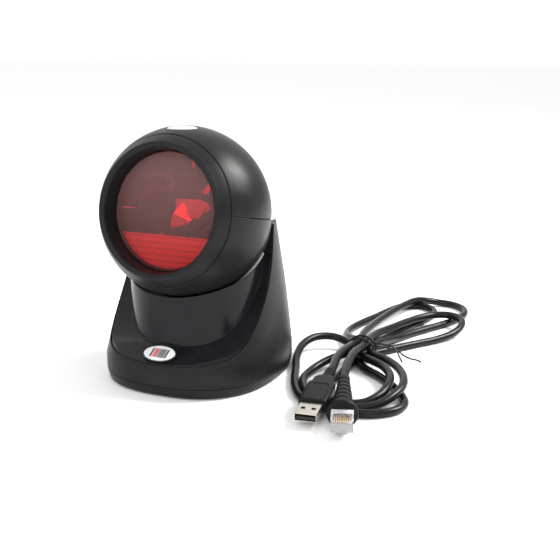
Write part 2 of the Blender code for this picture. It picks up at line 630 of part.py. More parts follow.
def make_usb_plug():
    place = along(USB_FRONT, USB_BACK)
    shell = prism("usb_shell", rectangle(6.0, 2.25), 0.0, 13.2, "nickel", place=place)
    combine(shell, prism("cut_usb_mouth", rectangle(5.7, 1.95), -1.0, 12.8, "nickel",
                         place=place), "DIFFERENCE")
    for x in (-2.9, 2.9):
        combine(shell, prism(f"cut_usb_window_{x:.0f}", rectangle(1.1, 1.0, x, 2.2), 5.4, 7.8,
                             "nickel", place=place), "DIFFERENCE")
    prism("usb_tongue", rectangle(5.2, 0.75, 0.0, -0.8), 0.8, 12.4, "inner_black", place=place)
    rings = []
    for half_x, half_y, w in ((7.6, 3.8, 13.5), (7.8, 4.0, 14.2), (7.8, 4.0, 35.0),
                              (6.6, 3.9, 35.6), (6.2, 3.8, 41.5), (3.8, 3.5, 44.0)):
        ring = superellipse(half_x, half_y, 6.0, 0.0, 24)
        rings.append([(x, y, w) for x, y in ring])
    loft("usb_overmould", rings, "pvc_black", place=place)
    profile = [(0.0, 44.3), (3.5, 44.3)]
    for i in range(4):
        start = 44.8 + 2.7 * i
        profile += [(3.5 - 0.12 * i, start), (3.4 - 0.12 * i, start + 1.7),
                    (2.8, start + 1.9), (2.8, start + 2.9)]
    profile += [(2.7, 55.9), (0.0, 55.9)]
    turned("usb_strain_relief", profile, "pvc_black", count=12, place=place)


def make_tail(name, route):
    """A free run of the cord, as a round tube through its route points."""
    ends = [2 * Vector(route[0]) - Vector(route[1])] + [Vector(p) for p in route]
    ends += [2 * Vector(route[-1]) - Vector(route[-2])]
    points = smooth_through(ends, 2)
    curve = bpy.data.curves.new(name, "CURVE")
    curve.dimensions = "3D"
    curve.bevel_depth = CORD_R * MM
    curve.bevel_resolution = 2
    curve.use_fill_caps = True
    spline = curve.splines.new("POLY")
    spline.points.add(len(points) - 1)
    for spot, point in zip(spline.points, points):
        spot.co = (*(point * MM), 1.0)
    curve.materials.append(material("pvc_black"))
    made = bpy.data.objects.new(name, curve)
    bpy.context.scene.collection.objects.link(made)


def oval(half_x, half_y, cx, cy, turn_deg, count=36):
    turn = math.radians(turn_deg)
    points = []
    for x, y in superellipse(half_x, half_y, 2.3, 0.0, count):
        points.append((cx + x * math.cos(turn) - y * math.sin(turn),
                       cy + x * math.sin(turn) + y * math.cos(turn)))
    return points


def make_hanks():
    """Outer shapes of the tied cord: loops in front of the waist, and longer ones behind it."""
    front = prism("cord_hank_front", oval(37.0, 41.5, 104.0, 3.6, 0.0), 0.3, 4.4, "pvc_black")
    combine(front, prism("cut_hank_front", oval(21.0, 26.0, 104.0, 3.6, 0.0), -2.0, 20.0,
                         "pvc_black"), "DIFFERENCE")
    x, z = NECK_CENTRE
    facing = Matrix(((1, 0, 0, x), (0, 0, 1, 0), (0, -1, 0, z), (0, 0, 0, 1)))
    prism("cord_hank_neck", superellipse(8.0, 7.4, 2.0, 0.0, 20), NECK_FROM_Y, NECK_TO_Y,
          "pvc_black", place=facing)
    prism("cord_hank_rear", oval(32.0, 72.0, 97.0, 134.6, -8.0), 0.3, 13.0, "pvc_black")


def make_tie():
    """Wire tie round the waist of the hank."""
    x, z = NECK_CENTRE
    place = Matrix.Translation((x, (NECK_FROM_Y + NECK_TO_Y) / 2, z))
    place = place @ Matrix.Rotation(math.radians(90), 4, "X")
    turned("cord_tie", [(8.1, -0.4), (8.35, -0.4), (8.35, 0.4), (8.1, 0.4)], "pvc_black",
           count=28, place=place)


def main():
    clear_scene()
    pivot = bpy.data.objects.new("tilt_axis", None)
    bpy.context.scene.collection.objects.link(pivot)
    pivot.location = BALL_CENTRE * MM
    spin = bpy.data.objects.new("spin_axis", None)
    bpy.context.scene.collection.objects.link(spin)
    spin.parent = pivot
    spin.rotation_euler = head_frame().to_euler()
    bpy.context.view_layer.update()
    head = {"place": head_frame(), "parent": pivot}

    make_stand_shell()
    make_guide(make_inner_cover())
    make_base()
    make_jack()
    make_badge()

    make_bezel(head)
    make_window(head)
    upper = make_cover("upper_cover", False, head)
    lower = make_cover("lower_cover", True, head)
    screw_towers(upper, lower, head)
    make_slot(lower)
    make_status_lens(upper, head)
    make_optics(head)
    make_rotor({"place": head_frame(), "parent": spin})

    make_modular_plug()
    make_usb_plug()
    make_tail("plug_tail", PLUG_TAIL)
    make_tail("usb_tail", USB_TAIL)
    make_hanks()
    make_tie()


main()
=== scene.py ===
"""Looks of the presentation barcode scanner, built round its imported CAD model.

Pieces are drawn in millimetres and stored in metres, in the row frame: +Z up, -Y is the front."""

import math

import bmesh
import bpy
from mathutils import Matrix, Vector


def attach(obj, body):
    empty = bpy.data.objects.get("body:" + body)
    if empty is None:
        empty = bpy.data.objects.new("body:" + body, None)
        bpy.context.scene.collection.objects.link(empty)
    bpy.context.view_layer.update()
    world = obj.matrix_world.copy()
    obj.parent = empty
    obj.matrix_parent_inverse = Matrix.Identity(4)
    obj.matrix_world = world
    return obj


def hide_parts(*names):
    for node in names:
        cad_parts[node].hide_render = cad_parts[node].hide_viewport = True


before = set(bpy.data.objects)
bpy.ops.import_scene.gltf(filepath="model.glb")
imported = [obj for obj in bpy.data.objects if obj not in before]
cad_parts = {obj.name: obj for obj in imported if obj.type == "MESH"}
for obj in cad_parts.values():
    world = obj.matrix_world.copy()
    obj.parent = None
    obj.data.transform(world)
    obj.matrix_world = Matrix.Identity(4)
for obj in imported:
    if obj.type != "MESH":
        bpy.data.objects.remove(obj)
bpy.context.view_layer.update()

MM = 0.001
GAP = 0.3
IDENTITY = Matrix.Identity(4)

# ---- head, in its own axes: u right, v up, w out of the window
BALL_R = 50.0
BALL_CENTRE = Vector((0.0, -12.5, 100.0))
HEAD_PITCH = math.radians(10.9)
HEAD_WALL = 2.2
SEAM_W = 25.9
WINDOW_R = 33.6
WINDOW_FRONT_W = 21.9
WINDOW_THICK = 2.0
FILM_R = 32.3
LABEL_TOP_V = -13.5
LENS_HALF_X = 9.4
LENS_HALF_Y = 8.2
LENS_LEAN = math.radians(2.5)

# ---- stand
SHELL_BOTTOM = 6.8
SHELL_TOP = 92.6
SHELL_WALL = 2.4
SHELF_THICK = 2.2
CUP_R = 51.6
ARM_CUP_R = 50.6
COVER_TOP = 75.6
ARM_SOLID_Z = 76.0
COLUMN_HALF_X = 41.8
COLUMN_HALF_Y = 43.5
COLUMN_Y = 5.0
COLUMN_POWER = 2.1
SHELF_CROWN = 4.4
DIP_HALF_X = 39.0
DIP_FLOOR = 60.0
BASE_SCREW_X = 36.0
BASE_SCREW_ROWS = (-36.5, 41.0)
JACK_Z = 18.0
JACK_HOLE_R = 10.2
RIM_SWEEP = [(-66.0, 12.5), (-53.5, 18.4), (-45.0, 20.5), (-35.1, 23.8), (-28.2, 28.1),
             (-22.3, 33.1), (-15.0, 41.0), (-8.5, 49.2), (-1.9, 59.5), (3.9, 72.4),
             (7.9, 84.3), (11.3, 95.6), (13.5, 105.0)]
STUD_DEG = -82.0

# ---- data lead
CORD_R = 2.5
PLUG_FRONT = Vector((118.8, -66.0, 7.6))
PLUG_BACK = Vector((99.2, -10.8, 13.1))
USB_FRONT = Vector((96.0, -59.8, 6.2))
USB_BACK = Vector((89.0, -4.4, 13.3))
CORD_ROOT = 3.0    # how far the lead runs inside each strain relief
# The lead's route: the tail behind the plug, the loops behind and in front of the tie in the
# order that the lead runs through them, and the tail in front of the USB plug.
PLUG_TAIL = [(98.9, -9.9, 13.2), (95.9, 1.0, 14.0), (92.8, 15.0, 14.4), (90.6, 29.0, 14.0),
             (89.6, 44.0, 12.6)]
REAR_A = [(88.8, 56, 12.4), (87.4, 70, 11.4), (87.6, 86, 10), (90.6, 104, 8.6),
          (94.6, 121, 8), (100, 137, 7.6), (108, 148, 7.6), (118, 151.5, 7.6),
          (127, 145.5, 7.4), (130.5, 134, 6.4), (128, 121, 4.2), (120.5, 108.5, 2.8),
          (112.5, 97, 2.6), (105, 86, 2.6), (98, 75, 2.6), (91.8, 65, 2.7), (88.8, 57, 2.8)]
FRONT_1 = [(88.4, 49, 2.8), (90.4, 41, 2.8), (97, 33.5, 2.7), (107.5, 25.5, 2.6),
           (119, 14.5, 2.5), (129, 1.5, 2.5), (134.8, -11, 2.5), (132.6, -23, 2.5),
           (123.5, -31.5, 2.5), (111, -34.6, 2.5), (98, -34, 2.5), (86, -30.5, 2.5),
           (76, -22, 2.5), (68.5, -10, 2.5), (62.5, 3.5, 2.5), (57, 18, 2.5),
           (51, 33, 4.2), (48.6, 47.5, 7.4), (51.6, 61.5, 9), (61, 70.5, 8),
           (73, 69.5, 5), (81, 62, 2.8), (83.8, 53, 2.8)]
FRONT_3 = [(84.4, 43, 2.8), (85.2, 29, 2.6), (86, 12, 2.5), (87.5, -4, 2.5),
           (92.5, -16.5, 2.5), (103, -23, 2.5), (114, -20.5, 3.2), (120.5, -9.5, 5.4),
           (121, 4, 7.6), (117, 17, 8.1), (109, 28.5, 8.1), (98.5, 36.5, 8),
           (89.8, 43, 7.8), (86.4, 52, 7.6)]
REAR_B = [(86.2, 61, 7.4), (86.3, 72, 6), (87, 86, 3.8), (89, 102, 2.6), (93, 122, 2.5),
          (98, 142, 2.5), (101.5, 158, 2.5), (101, 172, 2.5), (93.5, 182, 2.5),
          (82.5, 183, 2.5), (74, 175, 2.5), (69.5, 160, 2.5), (66, 143, 2.5),
          (62, 126, 2.5), (59.8, 110, 2.6), (61.5, 95, 3.4), (67.5, 82, 5.4),
          (75.5, 72, 7.4), (80.4, 61, 7.7)]
FRONT_2 = [(81, 50, 7.6), (78.3, 40.5, 7.2), (72, 31.5, 5.4), (67.9, 19, 3.4),
           (68, 5, 2.6), (73, -8, 2.5), (80.5, -19, 2.5), (91, -26.5, 2.5),
           (103, -29, 2.5), (114.5, -27, 2.7), (123.5, -20, 4), (128.5, -9, 6.4),
           (129.5, 3, 8), (125.5, 16, 8.6), (118, 28.5, 8.7), (108.5, 38.5, 8.6),
           (98.5, 45, 8.4), (92.6, 53, 8)]
REAR_D = [(91.5, 62, 7.8), (91.8, 72, 7.6), (93, 85, 5.4), (95.6, 99, 3.2), (101, 115, 2.5),
          (108, 130, 2.5), (115, 145, 2.5), (120.5, 160, 2.5), (122.5, 175, 2.5),
          (118.5, 188.5, 2.5), (108.5, 197, 2.5), (97.5, 196.5, 3.2), (89.5, 189.5, 5.6),
          (84.6, 179, 7.6), (81.5, 165, 8), (79.5, 148, 8.4), (78.6, 130, 9),
          (78.4, 112, 9.8), (79, 94, 10.8), (80.6, 76, 12), (83, 60, 12.4)]
USB_TAIL = [(82.9, 44.0, 12.6), (83.3, 28.0, 14.0), (85.0, 14.0, 14.3), (87.6, 3.0, 13.9),
            (88.9, -3.5, 13.4)]
NECK_CENTRE = (86.2, 8.4)
TIE_Y = 54.0
TIE_R = 0.55


# ---- studio light
WHITE = (1.0, 1.0, 1.0)
DIM_GREY = (0.25, 0.25, 0.25)
DIM_SIDE = (0.8, 0.6, 0.0)
SKY_STRENGTH = 1.12


# ---------------------------------------------------------------- stage
def add_camera():
    data = bpy.data.cameras.new("view")
    data.lens = 61.33
    data.sensor_width = 36.0
    data.clip_end = 20.0
    eye = bpy.data.objects.new("view", data)
    right = Vector((0.9108, 0.4129, 0.0))
    up = Vector((-0.1029, 0.2270, 0.9685))
    back = right.cross(up).normalized()
    turn = Matrix((right, up, back)).transposed().to_4x4()
    eye.matrix_world = Matrix.Translation((0.27606, -0.48885, 0.20034)) @ turn
    bpy.context.scene.collection.objects.link(eye)
    bpy.context.scene.camera = eye


def add_softbox(name, place, target, size, watts, colour=(1.0, 1.0, 1.0)):
    data = bpy.data.lights.new(name, "AREA")
    data.shape = "RECTANGLE"
    data.size, data.size_y = size
    data.energy = watts
    data.color = colour
    lamp = bpy.data.objects.new(name, data)
    lamp.location = place
    lamp.rotation_euler = (Vector(target) - Vector(place)).to_track_quat("-Z", "Y").to_euler()
    bpy.context.scene.collection.objects.link(lamp)


def add_studio():
    """Pale floor, soft all-round light, a key light above the right and a weak front light."""
    mesh = bpy.data.meshes.new("floor")
    bm = bmesh.new()
    bmesh.ops.create_grid(bm, x_segments=1, y_segments=1, size=6.0)
    bm.to_mesh(mesh)
    bm.free()
    floor = bpy.data.objects.new("floor", mesh)
    bpy.context.scene.collection.objects.link(floor)
    pale = bpy.data.materials.new("pale_floor")
    pale.use_nodes = True
    shader = pale.node_tree.nodes["Principled BSDF"]
    shader.inputs["Base Color"].default_value = (0.97, 0.97, 0.97, 1.0)
    shader.inputs["Roughness"].default_value = 0.6
    shader.inputs["Specular IOR Level"].default_value = 0.2
    mesh.materials.append(pale)
    bpy.context.scene.view_settings.view_transform = "Standard"
    world = bpy.data.worlds.new("studio")
    bpy.context.scene.world = world
    world.use_nodes = True
    sky = world.node_tree.nodes["Background"]
    facing = world.node_tree.nodes.new("ShaderNodeVectorMath")
    facing.operation = "DOT_PRODUCT"
    facing.inputs[1].default_value = DIM_SIDE
    place = world.node_tree.nodes.new("ShaderNodeTexCoord")
    world.node_tree.links.new(place.outputs["Generated"], facing.inputs[0])
    shaded = tint(world.node_tree, facing.outputs["Value"], WHITE, DIM_GREY, 0.35, 0.85)
    # The studio is dimmer to the right, and its backdrop is plain white all round.
    seen = world.node_tree.nodes.new("ShaderNodeLightPath")
    backdrop = world.node_tree.nodes.new("ShaderNodeMix")
    backdrop.data_type = "RGBA"
    world.node_tree.links.new(seen.outputs["Is Camera Ray"], backdrop.inputs["Factor"])
    colours = [plug for plug in backdrop.inputs if plug.type == "RGBA"]
    colours[1].default_value = (*WHITE, 1.0)
    world.node_tree.links.new(shaded, colours[0])
    results = [plug for plug in backdrop.outputs if plug.type == "RGBA"]
    world.node_tree.links.new(results[0], sky.inputs["Color"])
    sky.inputs["Strength"].default_value = SKY_STRENGTH
    add_softbox("key", (0.71, 0.54, 0.80), (0.02, 0, 0.11), (0.45, 0.45), 20.0, (1.0, 0.98, 0.95))
    add_softbox("front", (0.15, -1.2, 0.9), (0, 0, 0.06), (1.2, 0.5), 5.0)


# ---------------------------------------------------------------- materials
def nodes_of(name):
    made = bpy.data.materials.new(name)
    made.use_nodes = True
    tree = made.node_tree
    return made, tree, tree.nodes["Principled BSDF"]


def noise(tree, scale, detail=4.0, roughness=0.55, stretch=None):
    """3-D noise over the piece's own coordinates, which are in metres."""
    place = tree.nodes.new("ShaderNodeTexCoord")
    made = tree.nodes.new("ShaderNodeTexNoise")
    made.inputs["Scale"].default_value = scale
    made.inputs["Detail"].default_value = detail
    made.inputs["Roughness"].default_value = roughness
    if stretch:
        mapping = tree.nodes.new("ShaderNodeMapping")
        mapping.inputs["Scale"].default_value = stretch
        tree.links.new(place.outputs["Object"], mapping.inputs["Vector"])
        tree.links.new(mapping.outputs["Vector"], made.inputs["Vector"])
    else:
        tree.links.new(place.outputs["Object"], made.inputs["Vector"])
    return made.outputs["Fac"]


def spread(tree, value, low, high, start=0.3, end=0.7):
    made = tree.nodes.new("ShaderNodeMapRange")
    made.inputs["From Min"].default_value = start
    made.inputs["From Max"].default_value = end
    made.inputs["To Min"].default_value = low
    made.inputs["To Max"].default_value = high
    tree.links.new(value, made.inputs["Value"])
    return made.outputs["Result"]


def tint(tree, value, dark, light, start=0.3, end=0.7):
    made = tree.nodes.new("ShaderNodeValToRGB")
    made.color_ramp.elements[0].position = start
    made.color_ramp.elements[0].color = (*dark, 1.0)
    made.color_ramp.elements[1].position = end
    made.color_ramp.elements[1].color = (*light, 1.0)
    tree.links.new(value, made.inputs["Fac"])
    return made.outputs["Color"]


def moulded(name, dark, light, rough=(0.4, 0.5), grain=2600.0, depth=0.00004, strength=0.5,
            edge=0.0, metallic=0.0, stretch=None, mottle=90.0, shine=0.5):
    """A finish with colour mottle, uneven gloss, a fine moulded grain and softened edges."""
    made, tree, shader = nodes_of(name)
    shader.inputs["Metallic"].default_value = metallic
    shader.inputs["Specular IOR Level"].default_value = shine
    broad = noise(tree, mottle, stretch=stretch)
    fine = noise(tree, grain, 3.0, stretch=stretch)
    tree.links.new(tint(tree, broad, dark, light), shader.inputs["Base Color"])
    tree.links.new(spread(tree, broad, *rough), shader.inputs["Roughness"])
    bump = tree.nodes.new("ShaderNodeBump")
    bump.inputs["Strength"].default_value = strength
    bump.inputs["Distance"].default_value = depth
    tree.links.new(fine, bump.inputs["Height"])
    if edge:
        bevel = tree.nodes.new("ShaderNodeBevel")
        bevel.samples = 6
        bevel.inputs["Radius"].default_value = edge
        tree.links.new(bevel.outputs["Normal"], bump.inputs["Normal"])
    tree.links.new(bump.outputs["Normal"], shader.inputs["Normal"])
    return made


def make_materials():
    m = {}
    m["charcoal"] = moulded("charcoal_textured", (0.0095, 0.0096, 0.0103), (0.0135, 0.0136, 0.0145),
                            (0.32, 0.40), 2400.0, 0.00005, 0.35, edge=0.0005, shine=0.15)
    m["gloss"] = moulded("gloss_black", (0.0070, 0.0070, 0.0088), (0.0100, 0.0100, 0.0125),
                         (0.12, 0.19), 700.0, 0.000012, 0.12, edge=0.0006, shine=0.18)
    m["inner"] = moulded("inner_black", (0.010, 0.010, 0.010), (0.018, 0.018, 0.018),
                         (0.6, 0.75), 1800.0, 0.00006, 0.5)
    m["rubber"] = moulded("rubber", (0.012, 0.012, 0.012), (0.022, 0.022, 0.021), (0.75, 0.9),
                          1500.0, 0.00008, 0.6)
    m["steel"] = moulded("steel", (0.40, 0.40, 0.41), (0.52, 0.52, 0.53), (0.25, 0.4), 1500.0,
                         0.00002, 0.3, metallic=1.0, stretch=(1, 1, 12))
    m["nickel"] = moulded("nickel", (0.56, 0.53, 0.47), (0.72, 0.68, 0.61), (0.16, 0.30),
                          900.0, 0.000015, 0.3, metallic=1.0, stretch=(1, 6, 1), edge=0.0003)
    m["brass"] = moulded("gilt_contacts", (0.70, 0.47, 0.22), (0.85, 0.62, 0.33), (0.2, 0.35),
                         1200.0, 0.00002, 0.3, metallic=1.0)
    m["mirror"] = moulded("mirror", (0.70, 0.70, 0.73), (0.78, 0.78, 0.80), (0.02, 0.06),
                          400.0, 0.000004, 0.1, metallic=1.0)
    m["acetal"] = moulded("acetal", (0.66, 0.65, 0.60), (0.76, 0.75, 0.70), (0.35, 0.5), 1500.0,
                          0.00003, 0.4)
    m["pvc"] = moulded("pvc_black", (0.0050, 0.0051, 0.0064), (0.0080, 0.0081, 0.0098),
                       (0.26, 0.34), 900.0, 0.00006, 0.22, mottle=140.0, shine=0.2)
    m["mould"] = moulded("overmould_black", (0.0065, 0.0066, 0.0074), (0.0100, 0.0101, 0.0112),
                         (0.36, 0.46), 1900.0, 0.00006, 0.45, edge=0.0004, shine=0.14)
    m["board"] = make_board()
    m["lens"] = make_lens_finish()
    m["clear"] = make_clear()
    m["window"] = make_window_finish()
    m["label"] = make_label_finish()
    m["glint"] = moulded("red_reflection", (0.62, 0.018, 0.022), (0.80, 0.030, 0.036),
                         (0.3, 0.5), 600.0, 0.00003, 0.2, mottle=260.0)
    m["badge"] = moulded("badge_white", (0.74, 0.74, 0.74), (0.82, 0.82, 0.82), (0.18, 0.28),
                         500.0, 0.00001, 0.15, edge=0.0002)
    m["ink"] = moulded("badge_ink", (0.02, 0.02, 0.022), (0.035, 0.034, 0.036), (0.25, 0.4),
                       700.0, 0.00001, 0.2)
    return m


def make_board():
    made, tree, shader = nodes_of("circuit_board")
    place = tree.nodes.new("ShaderNodeTexCoord")
    cells = tree.nodes.new("ShaderNodeTexBrick")
    cells.inputs["Scale"].default_value = 160.0
    cells.inputs["Mortar Size"].default_value = 0.06
    cells.inputs["Color1"].default_value = (0.012, 0.10, 0.035, 1.0)
    cells.inputs["Color2"].default_value = (0.02, 0.15, 0.055, 1.0)
    cells.inputs["Mortar"].default_value = (0.05, 0.24, 0.10, 1.0)
    tree.links.new(place.outputs["Object"], cells.inputs["Vector"])
    tree.links.new(cells.outputs["Color"], shader.inputs["Base Color"])
    tree.links.new(spread(tree, noise(tree, 700.0), 0.3, 0.5), shader.inputs["Roughness"])
    return made


def make_lens_finish():
    """Frosted grey lens: light scatters just below a satin skin."""
    made = moulded("frosted_lens", (0.50, 0.53, 0.48), (0.60, 0.62, 0.57), (0.35, 0.5), 1700.0,
                   0.00005, 0.5, mottle=200.0)
    shader = made.node_tree.nodes["Principled BSDF"]
    shader.inputs["Subsurface Weight"].default_value = 0.3
    shader.inputs["Subsurface Scale"].default_value = 0.002
    return made


def make_clear():
    made = moulded("clear_polycarbonate", (0.80, 0.79, 0.82), (0.90, 0.89, 0.92), (0.06, 0.14),
                   500.0, 0.00002, 0.2, mottle=300.0)
    shader = made.node_tree.nodes["Principled BSDF"]
    shader.inputs["Transmission Weight"].default_value = 0.75
    shader.inputs["IOR"].default_value = 1.45
    return made


def make_window_finish():
    """Red filter glass: what is behind it shows in red, under a brown veil whose colour is painted
    paler toward the top as painted light.
    """
    made = moulded("filter_glass", (0.2, 0.15, 0.15), (0.3, 0.2, 0.2), (0.03, 0.09), 300.0,
                   0.000003, 0.1, mottle=45.0)
    tree = made.node_tree
    haze_and_painted_light = tree.nodes["Principled BSDF"]
    # Painted light: the veil's colour is painted paler with height, a painted reflection of the
    # bright studio above.
    height = tree.nodes.new("ShaderNodeSeparateXYZ")
    tree.links.new(tree.nodes["Texture Coordinate"].outputs["Object"], height.inputs["Vector"])
    cloud_and_painted_height = tree.nodes.new("ShaderNodeMath")
    cloud_and_painted_height.operation = "MULTIPLY_ADD"
    cloud_and_painted_height.inputs[1].default_value = 0.012
    tree.links.new(noise(tree, 60.0), cloud_and_painted_height.inputs[0])
    tree.links.new(height.outputs["Z"], cloud_and_painted_height.inputs[2])
    painted_top_light = spread(tree, cloud_and_painted_height.outputs["Value"], 0.0, 1.0, 0.078, 0.136)
    tree.links.new(tint(tree, painted_top_light, (0.15, 0.085, 0.088), (0.42, 0.34, 0.34), 0.0, 1.0),
                   haze_and_painted_light.inputs["Base Color"])
    see_through = tree.nodes.new("ShaderNodeBsdfTransparent")
    depth = tint(tree, noise(tree, 30.0), (0.97, 0.24, 0.25), (1.0, 0.28, 0.29))
    tree.links.new(depth, see_through.inputs["Color"])
    blend = tree.nodes.new("ShaderNodeMixShader")
    blend.inputs["Fac"].default_value = 0.22
    tree.links.new(see_through.outputs["BSDF"], blend.inputs[1])
    tree.links.new(haze_and_painted_light.outputs["BSDF"], blend.inputs[2])
    tree.links.new(blend.outputs["Shader"], tree.nodes["Material Output"].inputs["Surface"])
    return made


def make_label_finish():
    """Red film with faint darker stripes across it."""
    made, tree, shader = nodes_of("red_film")
    place = tree.nodes.new("ShaderNodeTexCoord")
    stripes = tree.nodes.new("ShaderNodeTexWave")
    stripes.bands_direction = "Z"
    stripes.inputs["Scale"].default_value = 95.0
    stripes.inputs["Distortion"].default_value = 0.0
    tree.links.new(place.outputs["Object"], stripes.inputs["Vector"])
    tree.links.new(tint(tree, stripes.outputs["Fac"], (0.60, 0.05, 0.055), (0.95, 0.12, 0.13),
                        0.0, 0.35), shader.inputs["Base Color"])
    tree.links.new(spread(tree, noise(tree, 500.0), 0.35, 0.5), shader.inputs["Roughness"])
    return made


# ---------------------------------------------------------------- mesh tools
def loose(name, bm, place=IDENTITY):
    """A bmesh in millimetres as a scene object in metres, with no material yet."""
    bmesh.ops.remove_doubles(bm, verts=bm.verts, dist=1e-4)
    bmesh.ops.recalc_face_normals(bm, faces=bm.faces)
    bmesh.ops.transform(bm, matrix=Matrix.Scale(MM, 4) @ place, verts=bm.verts)
    mesh = bpy.data.meshes.new(name)
    bm.to_mesh(mesh)
    bm.free()
    made = bpy.data.objects.new(name, mesh)
    bpy.context.scene.collection.objects.link(made)
    return made


def finish_piece(piece, material, body, replaced=(), sharp_deg=32.0):
    """Applies the cuts, smooths the shading and ties the piece to its CAD body."""
    if piece.modifiers:
        bpy.context.view_layer.update()
        shaped = piece.evaluated_get(bpy.context.evaluated_depsgraph_get())
        mesh = bpy.data.meshes.new_from_object(shaped)
        tools = [step.object for step in piece.modifiers if step.type == "BOOLEAN"]
        piece.modifiers.clear()
        piece.data = mesh
        for tool in tools:
            bpy.data.objects.remove(tool, do_unlink=True)
    mesh = piece.data
    mesh.materials.clear()
    mesh.materials.append(material)
    mesh.polygons.foreach_set("material_index", [0] * len(mesh.polygons))
    mesh.shade_smooth()
    mesh.set_sharp_from_angle(angle=math.radians(sharp_deg))
    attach(piece, body)
    if replaced:
        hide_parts(*replaced)
    return piece


def grid_faces(bm, rows, closed=False):
    for low, high in zip(rows, rows[1:]):
        for i in range(len(low) if closed else len(low) - 1):
            j = (i + 1) % len(low)
            corners = []
            for vert in (low[i], low[j], high[j], high[i]):
                if vert not in corners:
                    corners.append(vert)
            if len(corners) > 2:
                bm.faces.new(corners)


def loft(name, rings, place=IDENTITY):
    bm = bmesh.new()
    rows = [[bm.verts.new(point) for point in ring] for ring in rings]
    grid_faces(bm, rows, closed=True)
    bm.faces.new(list(reversed(rows[0])))
    bm.faces.new(rows[-1])
    return loose(name, bm, place)


def prism(name, outline, low, high, place=IDENTITY):
    return loft(name, [[(x, y, low) for x, y in outline], [(x, y, high) for x, y in outline]],
                place)


def circle(radius, count, x=0.0, y=0.0):
    turns = (2 * math.pi * i / count for i in range(count))
    return [(x + radius * math.cos(turn), y + radius * math.sin(turn)) for turn in turns]


def rod(name, radius, low, high, count=48, x=0.0, y=0.0, place=IDENTITY):
    return prism(name, circle(radius, count, x, y), low, high, place)


def turned(name, profile, count=96, angle=2 * math.pi, place=IDENTITY):
    """A closed profile of (r, w) points turned about local Z."""
    bm = bmesh.new()
    full = angle > 2 * math.pi - 1e-6
    rows = []
    for i in range(count if full else count + 1):
        c, s = math.cos(angle * i / count), math.sin(angle * i / count)
        rows.append([bm.verts.new((r * c, r * s, w)) for r, w in profile])
    if full:
        rows.append(rows[0])
    for near, far in zip(rows, rows[1:]):
        for j in range(len(profile)):
            k = (j + 1) % len(profile)
            if profile[j][0] > 0 or profile[k][0] > 0:
                bm.faces.new((near[j], near[k], far[k], far[j]))
    if not full:
        bm.faces.new(list(reversed(rows[0])))
        bm.faces.new(rows[-1])
    return loose(name, bm, place)


def superellipse(half_x, half_y, power, centre_y=0.0, count=160):
    points = []
    for i in range(count):
        turn = 2 * math.pi * i / count
        c, s = math.cos(turn), math.sin(turn)
        points.append((half_x * math.copysign(abs(c) ** (2 / power), c),
                       half_y * math.copysign(abs(s) ** (2 / power), s) + centre_y))
    return points


def smooth_through(points, steps):
    """Catmull-Rom curve through points, without the two end points themselves."""
    found = []
    for a, b, c, d in zip(points, points[1:], points[2:], points[3:]):
        a, b, c, d = (Vector(p) for p in (a, b, c, d))
        for k in range(steps):
            t = k / steps
            found.append(0.5 * (2 * b + (c - a) * t + (2 * a - 5 * b + 4 * c - d) * t * t
                                + (3 * b - a - 3 * c + d) * t ** 3))
    found.append(Vector(points[-2]))
    return found


def rounded(profile, steps=4):
    """A closed profile of (r, w, corner radius) points with its corners rounded."""
    found = []
    for i, (x, y, radius) in enumerate(profile):
        here = Vector((x, y))
        if radius <= 0:
            found.append((x, y))
            continue
        before = (Vector(profile[i - 1][:2]) - here)
        after = (Vector(profile[(i + 1) % len(profile)][:2]) - here)
        half = before.angle(after) / 2
        reach = min(radius / math.tan(half), before.length * 0.49, after.length * 0.49)
        start, end = here + before.normalized() * reach, here + after.normalized() * reach
        for k in range(steps + 1):
            t = k / steps
            point = start * (1 - t) ** 2 + here * 2 * t * (1 - t) + end * t * t
            found.append((max(point.x, 0.0), point.y))
    return found


def combine(target, tool, operation):
    step = target.modifiers.new(tool.name, "BOOLEAN")
    step.operation = operation
    step.solver = "EXACT"
    step.object = tool
    tool.hide_render = True
    tool.hide_viewport = True


def ball(name, centre, radius, count=120):
    half = count // 2
    arc = [(radius * math.sin(math.pi * i / half), radius * math.cos(math.pi * i / half))
           for i in range(half + 1)]
    arc[0], arc[-1] = (0.0, radius), (0.0, -radius)
    return turned(name, arc, count, place=Matrix.Translation(centre))


def across(place_y=0.0, place_z=0.0):
    """Local Z along world X."""
    turn = Matrix(((0, 0, 1, 0), (1, 0, 0, 0), (0, 1, 0, 0), (0, 0, 0, 1)))
    return Matrix.Translation((0, place_y, place_z)) @ turn


def head_frame():
    c, s = math.cos(HEAD_PITCH), math.sin(HEAD_PITCH)
    turn = Matrix(((1, 0, 0, 0), (0, s, -c, 0), (0, c, s, 0), (0, 0, 0, 1)))
    return Matrix.Translation(BALL_CENTRE) @ turn


def along(start, end):
    """Local Z from start to end, with local Y as near to world up as it can be."""
    forward = (end - start).normalized()
    side = forward.cross(Vector((0, 0, 1))).normalized()
    up = side.cross(forward)
    return Matrix.Translation(start) @ Matrix((side, up, forward)).transposed().to_4x4()


# ---------------------------------------------------------------- data lead
def rooted(front, back):
    """End of the lead, held inside its plug's strain relief."""
    return back + CORD_ROOT * (front - back).normalized()


